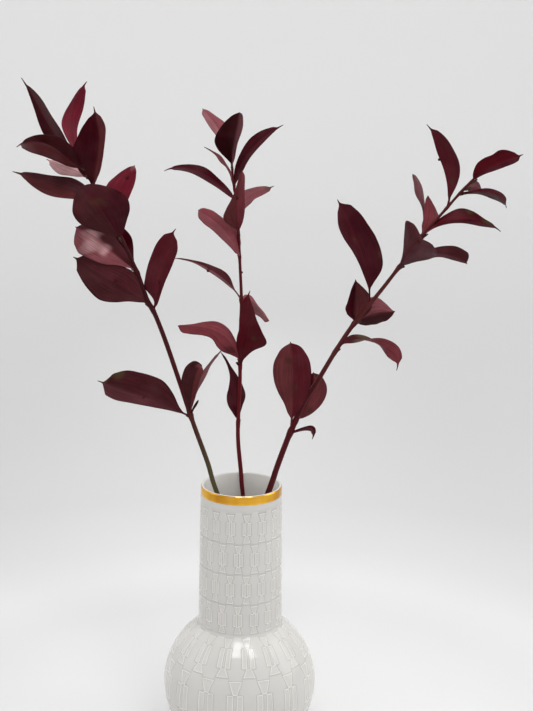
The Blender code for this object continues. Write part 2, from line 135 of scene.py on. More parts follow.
LEFT_LEAVES = [
    Leaf(509, [(-18, 3, 17), (-30, 5, 37), (-42, 6, 57)], (5, 9, 12.5, 13.5, 12, 8, 3.5),
         (7, 9.5, 10, 8, 5.5, 3.5, 1.5), 45, upper=(BROWN, DEEP)),
    Leaf(511, [(-6, 6, 18), (-3, 9, 37), (6, 10, 53)], (4, 5.5, 6.5, 7.5, 8, 7, 4.5),
         (3, 7.5, 10.5, 9, 6.5, 4, 2), -52, upper=RUBY),
    Leaf(488, [(3, -8, 16), (6, -13, 31), (6, -17, 45), (3, -18, 59)], (5, 7.5, 7, 7, 8, 8.5, 5),
         (13, 19, 19.5, 18, 15.5, 11.5, 6), 28, 28, -30, upper=(RUST, DEEP)),
    Leaf(502, [(-11, -7, 7), (-21, -10, 15), (-34, -10, 19), (-48, -6, 15)], (4, 8, 9.5, 9.5, 7, 4.5, 2.5),
         (4, 8, 12, 16, 17, 14, 8), -40, 31, upper=(NIGHT, UMBER)),
    # Its underside is painted pale pink: its own paler underside, and painted sheen.
    Leaf(496, [(-16, 6, 5), (-32, 10, 11)], (3, 5, 7, 8, 7.5, 6, 4), (3, 6, 9, 11, 11, 9, 5), 120,
         under=SHEEN_PINK),
    Leaf(479, [(-21, -3, 6), (-42, -5, 13), (-63, -8, 20)], (5, 8.5, 10, 8.5, 6.5, 4.5, 2.5),
         (4, 7, 10, 11.5, 11, 8, 3), -45, upper=(PLUM, RUST)),
    Leaf(468, [(9, 8, 18), (19, 10, 35)], (6, 10.5, 13.5, 14, 11.5, 7.5, 4), (5.5, 8.5, 9, 8.5, 7.5, 6, 4),
         -152, 15, tip=0.02, under=RUBY, scar=0.72, stains_and_sheen=[(0.97, 0, 4, PALE)]),
    Leaf(447, [(-9, -10, 15), (-18, -20, 30), (-30, -12, 41)], (6, 12, 19, 22, 19, 12.5, 6.5),
         (3.5, 7, 12.5, 17, 18, 16, 11), -5, 8, tip=0.02, upper=(WINE, UMBER),
         stains_and_sheen=[(0.66, -0.15, 6, RUSSET)]),
    # Its two palest patches are painted sheen.
    Leaf(423, [(-15, -2, 12), (-29, -2, 24), (-46, 0, 33)], (2, 5, 11, 14.5, 16.5, 16.5, 13),
         (5, 7.5, 9.5, 11, 10.5, 9, 6), 150, 10, tip=0.02, under=(PINK, BROWN),
         stains_and_sheen=[(0.72, -0.35, 9, SHEEN_PINK), (0.5, -0.3, 5, SHEEN_PINK)]),
    Leaf(421, [(-15, 14, 20), (-28, 20, 41)], (1.5, 4, 8, 10.5, 10, 7.5, 4.5), (2, 5, 11, 14, 14, 11, 7), -20,
         10, upper=(DEEP, WINE)),
    Leaf(395, [(-18, -8, 15), (-37, -12, 28), (-57, -12, 39)], (4, 10.5, 13.5, 12.5, 11.5, 10, 6.5),
         (3, 7.5, 14.5, 18.5, 17, 13, 8), -15, 8, tip=0.03, upper=(BROWN, UMBER), scar=0.47),
    Leaf(391, [(4, -5, 17), (7, -8, 34), (11, -9, 51), (18, -10, 65)], (3.5, 4.5, 6, 8, 9.5, 9.5, 6),
         (2, 10, 11.5, 11, 9.5, 8, 5.5), 18, 22, -50, upper=CRIMSON, scar=0.35),
    Leaf(301, [(-25, -6, 12), (-49, -9, 22), (-73, -10, 31)], (3, 11, 17.5, 19, 18.5, 16, 10),
         (2, 4.5, 8, 10.5, 12.5, 14.5, 12.5), -38, 38, 25, upper=(BROWN, PLUM), scar=0.5,
         stains_and_sheen=[(0.82, -0.85, 5, OLIVE), (0.93, -0.7, 4, OLIVE)]),
    Leaf(303, [(2, -8, 18), (5, -12, 35), (10, -14, 44)], (2, 3.5, 5, 5.5, 5.5, 5.5, 4.5),
         (4, 6.5, 9, 10, 10, 9.5, 7.5), 25, 25, -40, tip=0.01, upper=(RUST, UMBER),
         stains_and_sheen=[(0.93, 0.1, 4, PINK)]),
    Leaf(304, [(9, 14, 25), (25, 26, 47)], (1.5, 2, 2.5, 3, 3.5, 3, 2), (1.5, 2, 2.5, 3, 3.5, 3, 2), 60, 10,
         upper=HEATHER),
]

MIDDLE_LEAVES = [
    Leaf(496, [(-10, 14, 22), (-26, 20, 42)], (2.5, 3.5, 4.5, 5, 5.5, 5.5, 4.5),
         (3, 5, 7.5, 9.5, 9.5, 6.5, 4), 147, tip=0.02, under=(PALE, PINK)),
    Leaf(489, [(1, -9, 17), (4, -14, 32), (6, -14, 48)], (5, 8, 8.5, 9, 10, 10.5, 9),
         (4, 11.5, 16, 16.5, 15, 11.5, 7), 35, 40, -10, tip=0.01, upper=(HEATHER, NIGHT)),
    Leaf(472, [(7, 3, 23), (22, 5, 41), (41, 6, 54)], (3, 5, 5.5, 5.5, 4.5, 3, 1.5), (2, 4, 6, 7, 7, 6, 3.5),
         35, 15, upper=(BROWN, WINE), scar=0.5),
    Leaf(477, [(-10, 10, 17), (-26, 14, 29)], (2.5, 3, 3.5, 3.5, 3, 2.2, 1.5),
         (2.5, 3, 3.5, 3.5, 3, 2.2, 1.5), -120, under=PINK),
    Leaf(461, [(-17, -3, 17), (-38, -5, 28), (-61, -6, 26)], (3, 4.5, 5.5, 6, 5, 3.5, 2),
         (3.5, 7, 8.5, 8, 7.5, 7, 4), -55, 15, upper=(DEEP, WINE)),
    Leaf(452, [(7, 10, 10), (18, 16, 16), (31, 22, 21)], (4, 6, 8.5, 10.5, 9, 6, 3.5),
         (4.5, 5, 5.5, 4.5, 4, 3.5, 3), -140, under=PINK, stains_and_sheen=[(0.95, 0, 8, TIP_BROWN)]),
    Leaf(434, [(-2, -10, 20), (0, -16, 38), (3, -18, 56)], (4.5, 8, 9.5, 9, 7.5, 5.5, 4),
         (4.5, 11, 9, 5.5, 3.5, 2.5, 2), 15, 30, tip=0.02, upper=(ROSE, RUST), scar=0.56),
    Leaf(415, [(-8, -6, 17), (-20, -10, 31), (-35, -12, 41)], (3.5, 5, 6.5, 7.5, 8, 8, 6.5),
         (13.5, 16, 14.5, 12.5, 10.5, 9, 6.5), 135, 20, tip=0.01, under=(PINK, ROSE)),
    Leaf(379, [(-15, -8, 19), (-34, -14, 32), (-56, -18, 38)], (1.5, 5, 6.5, 5, 3, 1.5, 1),
         (1.2, 3.5, 5, 4, 2.5, 1.2, 1), -55, 15, petiole=0.1, upper=(BROWN, HEATHER), scar=0.56),
    Leaf(379, [(10, 9, -4), (17, 14, -13), (24, 14, -21)], (5, 6, 4.5, 3.5, 3.5, 3, 2.5),
         (4, 5.5, 6.5, 7, 6, 4.5, 4), -120, tip=0.01, under=(PINK, HEATHER)),
    Leaf(323, [(5, -8, 18), (7, -13, 35), (6, -14, 52), (8, -12, 68)], (2, 6.5, 16.5, 12.5, 8.5, 7, 3.6),
         (4, 8, 9.5, 8, 8, 6, 3.4), 15, 10, 70, tip=0.03, upper=SCARLET, stains_and_sheen=[(0.4, -0.3, 2.5, RUSSET)]),
    Leaf(326, [(-12, -2, 20), (-31, -6, 31), (-53, -8, 33)], (4, 8.5, 9.5, 6, 6, 7, 6.5),
         (4, 7.5, 12, 11.5, 7, 2.5, 1), 150, 20, tip=0.01, under=ROSE, stains_and_sheen=[(0.2, -0.5, 6, BROWN)]),
    Leaf(275, [(-2, 8, 20), (-6, 15, 40), (-16, 20, 58)], (2.5, 5, 8.5, 7, 4, 1.5, 1),
         (4.5, 8.5, 9, 5.5, 2.5, 1.5, 1), -15, 12, 60, upper=WINE, stains_and_sheen=[(0.4, -0.7, 2, RUSSET)]),
]

RIGHT_LEAVES = [
    Leaf(472, [(1, -3, 23), (-6, -5, 45), (-19, -6, 63)], (2, 6, 10.5, 13, 11.5, 8.5, 5),
         (2, 3, 4.5, 5.5, 5.5, 4, 2), 44, petiole=0.08, upper=CRIMSON,
         stains_and_sheen=[(0.3, -0.2, 2.5, RUSSET), (0.7, -0.5, 1.5, RUSSET)]),
    Leaf(492, [(11, -4, 10), (24, -7, 16), (37, -8, 22)], (2.5, 4, 5, 5.5, 6, 6, 4.5),
         (4, 7.5, 9, 8.5, 9.5, 8, 4.5), 35, 30, upper=(WINE, SCARLET), stains_and_sheen=[(0.55, 0, 1, RUSSET)]),
    Leaf(483, [(13, -6, 2), (26, -9, 0), (35, -8, -10)], (4, 6, 7, 8.5, 10.5, 11, 7),
         (1, 1.5, 3, 4.5, 5.5, 5.5, 4.5), 63, 15, upper=(NIGHT, DEEP)),
    Leaf(487, [(8, 6, 0), (15, 10, -2)], (3.5, 3.5, 3, 2.5, 2, 1.5, 1), (2, 3, 4.5, 5.5, 5.5, 4, 2), 30, 10,
         upper=(RUST, HEATHER)),
    Leaf(449, [(2, 8, 16), (-1, 10, 32), (-8, 10, 47)], (1, 1, 1.5, 3, 4.5, 4.5, 3),
         (1, 1.5, 3, 4.5, 5.5, 5.5, 5), 130, 15, tip=0.01, under=HEATHER, stains_and_sheen=[(1, 0, 3, TIP_BROWN)]),
    Leaf(449, [(5, 4, 15), (4, 6, 31)], (2, 3.5, 4, 4, 4, 3.5, 2.5), (2, 4, 7, 10.5, 7.5, 4, 2), 160, 10,
         tip=0.02, under=ROSE, stains_and_sheen=[(1, 0, 2.5, SCAR)]),
    Leaf(449, [(17, -4, 12), (39, -8, 14), (59, -10, 6)], (3, 3, 4.5, 7, 7.5, 6.5, 3.5),
         (1.5, 3.5, 7, 9.5, 7.5, 3.5, 2), 54, 20, upper=(DEEP, SCARLET), scar=0.62,
         stains_and_sheen=[(0.1, 0, 9, ROSE), (0.6, 0.8, 2.5, OLIVE), (0.82, 0.6, 5, OLIVE)]),
    Leaf(424, [(6, -14, 15), (14, -30, 27)], (3, 8.5, 15.5, 20, 21, 18, 12), (1, 2, 5, 10.5, 16, 20, 14.5),
         15, -35, tip=0.01, upper=PLUM, scar=0.87),
    Leaf(424, [(28, 8, 10), (54, 4, 3)], (3, 4.5, 5.5, 4.5, 4.5, 4, 2.5), (2, 3, 4.5, 6, 8, 10.5, 10.5), 52,
         10, tip=0.02, upper=(PLUM, BROWN)),
    Leaf(393, [(-3, -4, 29), (-14, -7, 58), (-27, -8, 84)], (4, 12.5, 16, 15.5, 13, 11, 7.5),
         (3, 6, 8.5, 11.5, 14, 12, 6), -32, 30, 20, petiole=0.14, tip=0.03, upper=WINE,
         stains_and_sheen=[(0.62, 0.15, 3, RUSSET), (0.42, -0.9, 2.5, RUSSET)]),
    Leaf(379, [(0, 6, 17), (0, 8, 33)], (8, 12, 14, 13.5, 11, 7, 3), (14, 16, 14, 12, 9, 6, 3), -20, 45,
         tip=0.02, upper=(RUST, WINE), stains_and_sheen=[(0.2, 0, 2.5, RUSSET)]),
    Leaf(379, [(16, 6, 6), (32, 6, 8)], (5, 8, 9.5, 10.5, 9.5, 8.5, 5), (5, 10, 14, 16.5, 15, 8, 2.5), 10,
         -40, tip=0.02, upper=(UMBER, PINK)),
    Leaf(355, [(13, -5, 11), (29, -8, 10), (44, -11, 3), (48, -12, -12)], (1, 4.5, 7, 7, 7, 6.5, 4),
         (1, 4.5, 7, 7, 7.5, 6.5, 4), 108, 15, 220, upper=BROWN, under=ROSE,
         stains_and_sheen=[(0.36, 0.7, 5, OLIVE), (0.3, -0.7, 3.5, OLIVE)]),
    Leaf(287, [(1, -7, 26), (1, -12, 52), (-2, -14, 77)], (4, 8, 12, 14, 14.5, 13, 9),
         (4, 7, 12, 15.5, 16.5, 14.5, 10), 5, 10, petiole=0.15, tip=0.02, upper=(CRIMSON, RUST),
         stains_and_sheen=[(0.5, -0.1, 2.5, RUSSET), (0.8, 0.25, 3, RUSSET), (0.4, 0, 2, RUSSET)]),
    Leaf(296, [(11, 10, 16), (14, 14, 37)], (5.5, 8.5, 10, 10, 9.5, 8, 5.5), (3.5, 6.5, 9.5, 12, 13, 11.5, 8),
         180, 10, tip=0.02, under=(DEEP, RUST), stains_and_sheen=[(0.3, 0.5, 2.5, RUSSET)]),
    Leaf(285, [(8, -3, 4), (17, -5, 6), (18, -6, -3)], (1, 1.5, 2, 2.5, 3, 3, 2.5),
         (1, 1, 1.2, 1.5, 2, 2, 1.5), 40, 15, upper=(BROWN, DEEP)),
]

STEMS = [
    Stem(
        "stem_left", "left_stem",
        [(51, 25.5, 37.6), (27, 8, 105), (5, -5, 165), (-19.9, -21.7, 233), (-27.4, -27, 260),
         (-39.2, -36, 297), (-49.1, -45, 332), (-59.2, -53, 366), (-66.8, -58, 388), (-72.4, -61, 400),
         (-79.6, -66, 422), (-92, -74, 452), (-109, -82, 487), (-121, -88, 513)],
        [(0, 2), (240, 1.9), (390, 1.75), (430, 1.35), (513, 0.9)],
        [(0, STEM_OLIVE), (250, STEM_OLIVE), (282, STEM_BROWN), (325, STEM_WINE), (400, STEM_DARK)],
        [], [(303, (7, -8, 14)), (396, (-6, 1, 10))], LEFT_LEAVES,
    ),
    Stem(
        "stem_middle", "middle_stem",
        [(26, -16, 5.6), (14, 5, 120), (1, 24.6, 214), (-1, 29.3, 233), (-4, 35, 261), (-4, 39, 282),
         (-3, 44, 307), (-3, 48, 328), (-3, 53, 354), (-2.6, 58, 379), (-4.5, 65, 412), (-7, 72, 450),
         (-11, 78, 479), (-13, 82, 499)],
        [(0, 1.9), (240, 1.8), (322, 1.55), (412, 1.25), (499, 0.8)],
        [(0, STEM_CRIMSON), (330, STEM_CRIMSON), (400, STEM_WINE)],
        [((-30.7, 43.2, 406.2), 1.3), ((-2.4, 63, 402), 0.9), ((-2.6, 38, 277.6), 0.9)],
        [(323, (-3.4, -2, 4.2))], MIDDLE_LEAVES,
    ),
    Stem(
        "stem_right", "right_stem",
        [(-52.2, -3, 27.8), (-26, -9, 100), (-0.5, -12.5, 165), (23, -17.3, 233), (29, -21.5, 254),
         (36.8, -25, 278), (43.4, -26, 295), (51.4, -28, 314), (61.8, -30, 332), (73.7, -32, 354),
         (85, -33, 373), (97, -35, 390), (111, -37, 409), (127, -39, 432), (137, -40, 447), (152, -42, 466),
         (166, -43, 483), (176, -44, 494)],
        [(0, 2.7), (240, 2.45), (285, 2.3), (345, 1.85), (410, 1.5), (494, 0.85)],
        [(0, STEM_WINE), (320, STEM_WINE), (350, STEM_RUST)],
        [((149, -43.8, 508.5), 1.1)], [], RIGHT_LEAVES,
    ),
]

# Fine meshes of leaves and stems
LEAF_SLOT, STALK_SLOT = 0, 1
LEAF_ROWS = 56
LEAF_COLUMNS = 24
SCALE_ROWS = 10
SCALE_COLUMNS = 4
SCALE_LENGTH = 4.6
SCALE_DROP = 1.2  # how far below its leaf each scale is rooted
SCALE_WIDTHS = (1.1, 1.2, 1.1, 0.9, 0.7, 0.5, 0.4)
SPUR_WIDTHS = (0.7, 0.6, 0.6, 0.6, 0.6, 0.5, 0.4)
SCAR_RADIUS = 0.95
FIRST_SEED = 1000
# Added to a stem's seed for its small parts
SCALE_SEED = 50
SPUR_SEED = 80
NUB_SEED = 90
FINE_STEPS = 400
SECTION_STEPS = 160
FOLD_SHARPNESS = 0.2
WIDTH_PLACES = [0.08, 0.2, 0.35, 0.5, 0.65, 0.8, 0.92]
PETIOLE_HALF_WIDTH = 0.9
TIP_HALF_WIDTH = 0.3
BLADE_THICKNESS = 0.5
MARGIN_THICKNESS = 0.16
MARGIN_WAVE = 0.8
STALK_STEP = 3
STALK_SIDES = 16
STALK_RIDGES = 0.06  # height of the five ridges, as a share of the radius
NODE_SWELL = 0.35
FRONT = np.array([0, -1, 0])

# Vase
GLAZE_SLOT, GILT_SLOT, BISCUIT_SLOT = 0, 1, 2
VASE_HEIGHT = 233
NECK_TOP_RADIUS = 34
NECK_FOOT_RADIUS = 35.4
NECK_WALL = 2.7
BALL_RADIUS = 65
BALL_CENTRE = 56
BALL_TOP = math.acos(NECK_FOOT_RADIUS / BALL_RADIUS)  # angle up the ball where the neck meets it
BALL_WALL = 3.2
FLOOR_TOP = 5
LATHE_STEPS = 120
GILT_DEPTH = 7.5
GILT_EDGE = 50  # degrees round the lip's edge, from outside, that the gilding reaches
NECK_LENGTH = 122.5
# Distances down the outer profile, from the lip, at which the rows of relief begin and end.
NECK_ROWS = [14.6, 41.2, 67.8, 94.4, 121]
BALL_ROWS = [122.7, 158.2, 203.5, 243.5]
FIGURES_ROUND = 16
HALF_PITCH = 180 / FIGURES_ROUND
FIGURE_TURN = -2.2  # degrees right of the front, in every second row; the others stand between
# Half widths of a figure, in degrees: at its start, waist, hips and end, and out to the far side of its bars
START_HALF, WAIST_HALF, HIPS_HALF, END_HALF, BARS_HALF = 5.2, 1.7, 2.3, 5.3, 6
# Shares of a row's height at which a figure starts, has its waist and hips, and ends,
# then the degrees from its middle at which its bars begin.
NECK_FIGURE = (0.053, 0.302, 0.72, 0.963, 0.7)
BALL_FIGURE = (0.05, 0.302, 0.775, 0.985, 1.25)
NECK_PANEL = (0.009, 0.994)  # shares between which the panels lie
BALL_PANEL = (0.008, 1.045)
GROOVE_DEPTH = 0.15
GROOVE_WIDTH = 0.6
RIDGE_WIDTH = 0.75
SUNK = -0.45  # where the hidden feet of the relief lie, below the grooves
RIDGE_SIDES = [(-0.05, SUNK), (0.07, -0.03), (0.24, 0.22)]  # (inwards, up) from a ridge's outer foot
RELIEF_STEP = 3.5
PANEL_HEIGHT = 0.01
INSIDE_HEIGHT = -0.05  # of the plates inside the figures
FRAME = 0.4  # degrees from a figure's outline to the plate inside it
# The ridges are painted whiter and the grooves greyer. This is partly the thinner glaze on the ridges and the
# thicker glaze in the grooves, and partly a painted highlight on the ridges and painted shade in the grooves.
RIDGE_GLAZE_AND_HIGHLIGHT = 1.24
GROOVE_GLAZE_AND_SHADE = 0.87
# Painted light: the inside wall is painted paler than the glaze outside.
INSIDE_PAINTED_LIGHT = 1.22


def unit(vectors):
    return vectors / np.maximum(np.linalg.norm(vectors, axis=-1, keepdims=True), 1e-9)


def smooth_route(points, step):
    """Points about a step apart on a Catmull-Rom curve through the given ones."""
    knots = np.array(points, float)
    knots = np.vstack([2 * knots[0] - knots[1], knots, 2 * knots[-1] - knots[-2]])
    found = []
    for before, start, end, after in zip(knots, knots[1:], knots[2:], knots[3:]):
        count = max(1, round(np.linalg.norm(end - start) / step))
        square = before - 2.5 * start + 2 * end - 0.5 * after
        cube = 1.5 * (start - end) + 0.5 * (after - before)
        for share in np.arange(count) / count:
            found.append(start + 0.5 * share * (end - before) + share**2 * square + share**3 * cube)
    found.append(knots[-2])
    return np.array(found)


def curve_through(points, shares):
    """The Lagrange curve through evenly spaced points, at the given shares of its length."""
    places = np.linspace(0, 1, len(points))
    curve = np.zeros((len(shares), 3))
    for place, point in zip(places, points):
        others = places[places != place]
        weight = np.prod((shares[:, None] - others) / (place - others), axis=1)
        curve += weight[:, None] * np.array(point, float)
    return curve


def carried_normals(tangents):
    """Normals along a midrib: square to it, facing the front at its middle, carried on without turning."""
    middle = len(tangents) // 2
    normals = np.zeros_like(tangents)
    normals[middle] = unit(FRONT - (FRONT @ tangents[middle]) * tangents[middle])
    for step, end in ((1, len(tangents)), (-1, -1)):
        for index in range(middle + step, end, step):
            last = normals[index - step]
            normals[index] = unit(last - (last @ tangents[index]) * tangents[index])
    return normals


def swept(route, ways, reach, other_ways, other_reach):
    """A row of points for each one of a route, so far out from it along two directions."""
    return route[:, None] + ways[:, None] * reach[..., None] + other_ways[:, None] * other_reach[..., None]


def cross_section(fold, columns):
    """Shares across a blade of half width 1, and how far across and up each lies from its soft crease."""
    fine = np.linspace(-1, 1, SECTION_STEPS + 1)
    slope = math.radians(fold) * np.tanh(fine / FOLD_SHARPNESS)
    step = fine[1] - fine[0]
    places = np.linspace(-1, 1, columns + 1)
    found = [places]
    for rate in (np.cos(slope), np.sin(slope)):
        reach = np.concatenate([[0], np.cumsum((rate[1:] + rate[:-1]) / 2 * step)])
        found.append(np.interp(places, fine, reach - reach[SECTION_STEPS // 2]))
    return found


def add_object(name, data):
    obj = bpy.data.objects.new(name, data)
    bpy.context.scene.collection.objects.link(obj)
    return obj


class MeshParts:
    """Points, faces and per-point values gathered for one mesh."""

    def __init__(self):
        self.points = []
        self.faces = []
        self.values = {name: [] for name in ("across", "along", "under", "number")}
        self.tints = []
        self.slots = []
        self.count = 0

    def add(self, points, faces, tints, slot, across=0, along=0, under=0, number=0):
        points = np.asarray(points, float).reshape(-1, 3)
        size = len(points)
        self.points.append(points)
        self.faces += [[corner + self.count for corner in face] for face in faces]
        self.slots += [slot] * len(faces)
        self.tints.append(np.broadcast_to(tints, (size, 3)))
        for name, value in zip(self.values, (across, along, under, number)):
            self.values[name].append(np.broadcast_to(value, size))
        self.count += size

    def build(self, name, materials):
        mesh = bpy.data.meshes.new(name)
        mesh.from_pydata((np.vstack(self.points) * MM).tolist(), [], self.faces)
        for key, parts in self.values.items():
            attribute = mesh.attributes.new(key, "FLOAT", "POINT")
            attribute.data.foreach_set("value", np.concatenate(parts).astype(np.float32))
        tint = mesh.attributes.new("tint", "FLOAT_COLOR", "POINT")
        colours = np.hstack([np.vstack(self.tints), np.ones((self.count, 1))])
        tint.data.foreach_set("color", colours.astype(np.float32).ravel())
        for material in materials:
            mesh.materials.append(material)
        mesh.polygons.foreach_set("material_index", self.slots)
        mesh.polygons.foreach_set("use_smooth", [True] * len(self.faces))
        return add_object(name, mesh)


def tube_faces(rings, size, joined=False):
    """Quads between rings of points, and from the last ring back to the first if they are joined."""
    faces = []
    for ring in range(rings if joined else rings - 1):
        here, there = ring * size, (ring + 1) % rings * size
        for column in range(size):
            beside = (column + 1) % size
            faces.append([here + column, here + beside, there + beside, there + column])
    return faces


def shell_faces(rows, columns):
    """Faces of a closed shell: an upper grid, a lower grid after it, and the strip round their edges."""
    size = (rows + 1) * (columns + 1)
    grid = np.arange(size).reshape(rows + 1, columns + 1).tolist()
    faces = []
    for near, far in zip(grid, grid[1:]):
        faces += [list(face) for face in zip(near, far, far[1:], near[1:])]
    faces += [[corner + size for corner in reversed(face)] for face in faces]
    edge = grid[0][:-1] + [row[-1] for row in grid[:-1]] + grid[-1][:0:-1] + [row[0] for row in grid[:0:-1]]
    for here, there in zip(edge, edge[1:] + edge[:1]):
        faces.append([here, there, there + size, here + size])
    return faces


def mixed(first, second, share):
    share = np.asarray(share, float)[..., None]
    return np.asarray(first) * (1 - share) + np.asarray(second) * share


def soft_step(value, low, high):
    share = np.clip((value - low) / (high - low), 0, 1)
    return share * share * (3 - 2 * share)


def half_widths(widths, along, pointed):
    """Half widths of a blade at each share of its length, on a smooth curve through its given ones."""
    places = np.array([0, *WIDTH_PLACES, 1])
    before = max(0, widths[0] - (widths[1] - widths[0]) * 0.7)
    after = max(0, widths[-1] - (widths[-2] - widths[-1]) * 0.7)
    values = np.array([before, *widths, after])
    slopes = np.gradient(values, places)
    index = np.clip(np.searchsorted(places, along, "right") - 1, 0, len(places) - 2)
    span = places[index + 1] - places[index]
    share = (along - places[index]) / span
    start, end = values[index], values[index + 1]
    curve = start + (end - start) * share**2 * (3 - 2 * share)
    curve += span * share * (1 - share) * (slopes[index] * (1 - share) - slopes[index + 1] * share)
    opening = np.minimum(along / places[1], 1)
    closing = np.minimum((1 - along) / (1 - places[-2]), 1)
    if not pointed:
        closing = np.sqrt(1 - (1 - closing) ** 2)
    return curve * closing * np.sqrt(1 - (1 - opening) ** 2)


def add_leaf(parts, leaf, root, number, rows=LEAF_ROWS, columns=LEAF_COLUMNS):
    """One leaf as a closed thin shell, with its vein coordinates and colours at every point."""
    fine = np.linspace(0, 1, FINE_STEPS + 1)
    midrib = curve_through([(0, 0, 0), *leaf.midrib], fine) + root
    tangents = unit(np.gradient(midrib, axis=0))
    length = np.linalg.norm(np.diff(midrib, axis=0), axis=1).sum()
    carried = carried_normals(tangents)
    angle = np.radians(leaf.turn + leaf.twist * (fine - 0.5))[:, None]
    normals = carried * np.cos(angle) + np.cross(carried, tangents) * np.sin(angle)
    sides = np.cross(normals, tangents)

    along = np.clip((fine - leaf.petiole) / (1 - leaf.petiole - leaf.tip), 0, 1)
    needle = soft_step(fine, 1 - 2 * leaf.tip, 1)
    least = np.where(fine < 0.5, PETIOLE_HALF_WIDTH, TIP_HALF_WIDTH + 0.7 * (1 - needle))
    pointed = leaf.tip > 0.02
    left, right = (np.maximum(half_widths(side, along, pointed), least) for side in (leaf.left, leaf.right))

    even = np.linspace(0, 1, rows + 1)
    shares = 0.4 * even + 0.6 * (1 - np.cos(math.pi * even)) / 2
    picked = np.round(shares * FINE_STEPS).astype(int)
    across, section_x, section_y = cross_section(leaf.fold, columns)
    half = np.where(across < 0, left[picked][:, None], right[picked][:, None])
    swell = half / max(left.max(), right.max())
    share = shares[:, None]

    draw = np.random.default_rng(FIRST_SEED + number)
    phases = draw.uniform(0, 2 * math.pi, 5)
    swing = np.sin(4 * math.pi * share + np.where(across > 0, phases[0], phases[1]))
    ripple = np.sin(9 * share + 2.2 * across + phases[2]) + np.sin(15 * share - 3.1 * across + phases[3])
    wave = MARGIN_WAVE * swell * across**2 * swing + 0.18 * swell * ripple * np.abs(across)
    middle = swept(midrib[picked], sides[picked], half * section_x, normals[picked], half * section_y + wave)
    over = unit(np.cross(np.gradient(middle, axis=0), np.gradient(middle, axis=1)))

    distance = half * np.abs(across)
    thick = MARGIN_THICKNESS + (BLADE_THICKNESS - MARGIN_THICKNESS) * (1 - across**2)
    stalk_like = np.exp(-((share * length / 4) ** 2)) * np.clip(1.3 - distance, 0, 1)
    half_thick = thick / 2 + 0.5 * stalk_like
    rib = np.exp(-((distance / 0.6) ** 2)) * (1 - 0.8 * share)
    upper = middle + over * (half_thick - 0.1 * rib)[..., None]
    lower = middle - over * (half_thick + 0.28 * rib)[..., None]

    tints = []
    for colour in (leaf.upper or WINE, leaf.under or ROSE):
        first, second = np.broadcast_to(colour, (2, 3))
        # The left and right halves take their own colours, painting the light, shade and sheen on each.
        tint = mixed(first, second, soft_step(across, -0.12, 0.12) + 0 * share)
        tint = mixed(tint, 0.6 * tint, 0.6 * soft_step(np.abs(across), 0.9, 1))
        browned = soft_step(share, 1 - 1.4 * leaf.tip, 1 - 0.3 * leaf.tip)
        tint = mixed(tint, TIP_BROWN, 0.7 * browned)
        # Stains, and patches of painted sheen, mixed into the colour
        for place, side, size, patch_colour in leaf.stains_and_sheen:
            away = np.hypot((share - place) * length, (across - side) * half)
            ragged = size * (1 + 0.25 * np.sin(19 * share + 5 * across + phases[4]))
            tint = mixed(tint, patch_colour, 0.8 * (1 - soft_step(away / ragged, 0.2, 1.25)))
        if leaf.scar:
            away = np.hypot((share - leaf.scar) * length, across * half)
            tint = mixed(tint, SCAR, 0.9 * (1 - soft_step(away, 0.8, 2)))
        tints.append(tint.reshape(-1, 3))
    across, along = (np.tile(values.ravel(), 2) for values in np.broadcast_arrays(across, share))
    under = np.repeat([0, 1], len(tints[0]))
    points = np.vstack([upper.reshape(-1, 3), lower.reshape(-1, 3)])
    parts.add(points, shell_faces(rows, columns), np.vstack(tints), LEAF_SLOT, across, along, under, number)


def add_stalk(parts, stem, centreline):
    """The bare stem: a ridged, tapering tube that swells a little at each leaf."""
    tangents = unit(np.gradient(centreline, axis=0))
    lengths = np.concatenate([[0], np.cumsum(np.linalg.norm(np.diff(centreline, axis=0), axis=1))])
    radius = np.interp(centreline[:, 2], *zip(*stem.girth))
    for leaf in stem.leaves:
        radius = radius + NODE_SWELL * np.exp(-(((centreline[:, 2] - leaf.height) / 2.2) ** 2))
    normals = carried_normals(tangents)
    sides = np.cross(normals, tangents)
    turns = np.linspace(0, 2 * math.pi, STALK_SIDES, endpoint=False)
    ridges = 1 + STALK_RIDGES * np.cos(5 * turns[None] + 0.03 * lengths[:, None])
    ring = radius[:, None] * ridges
    points = swept(centreline, normals, ring * np.cos(turns), sides, ring * np.sin(turns))
    rings = len(centreline)
    faces = tube_faces(rings, STALK_SIDES)
    last = (rings - 1) * STALK_SIDES
    faces += [list(range(STALK_SIDES))[::-1], list(range(last, last + STALK_SIDES))]
    heights, colours = zip(*stem.colours)
    channels = [np.interp(centreline[:, 2], heights, channel) for channel in zip(*colours)]
    tint = np.stack(channels, axis=-1)
    tint[0] = CUT_WOOD
    across = np.tile(turns / math.pi, rings)
    along = np.repeat(lengths / 100, STALK_SIDES)
    parts.add(points, faces, np.repeat(tint, STALK_SIDES, axis=0), STALK_SLOT, across, along)


def add_knot(parts, place, radius, number):
    """A small hard knot, as a flower leaves in the middle of a blade."""
    bm = bmesh.new()
    bmesh.ops.create_icosphere(bm, subdivisions=2, radius=radius)
    points = [vertex.co + Vector(place) for vertex in bm.verts]
    faces = [[vertex.index for vertex in face.verts] for face in bm.faces]
    bm.free()
    parts.add(points, faces, SCAR, LEAF_SLOT, number=number)


def point_on(centreline, height):
    return np.array([np.interp(height, centreline[:, 2], centreline[:, axis]) for axis in range(3)])


def add_scale(parts, root, way, widths, turn, colour, number):
    """A dried scale or spike that reaches this way from its root."""
    midrib = [tuple(0.48 * way), tuple(way)]
    scale = Leaf(0, midrib, widths, widths, turn, fold=25, upper=colour, under=colour)
    add_leaf(parts, scale, root, number, SCALE_ROWS, SCALE_COLUMNS)


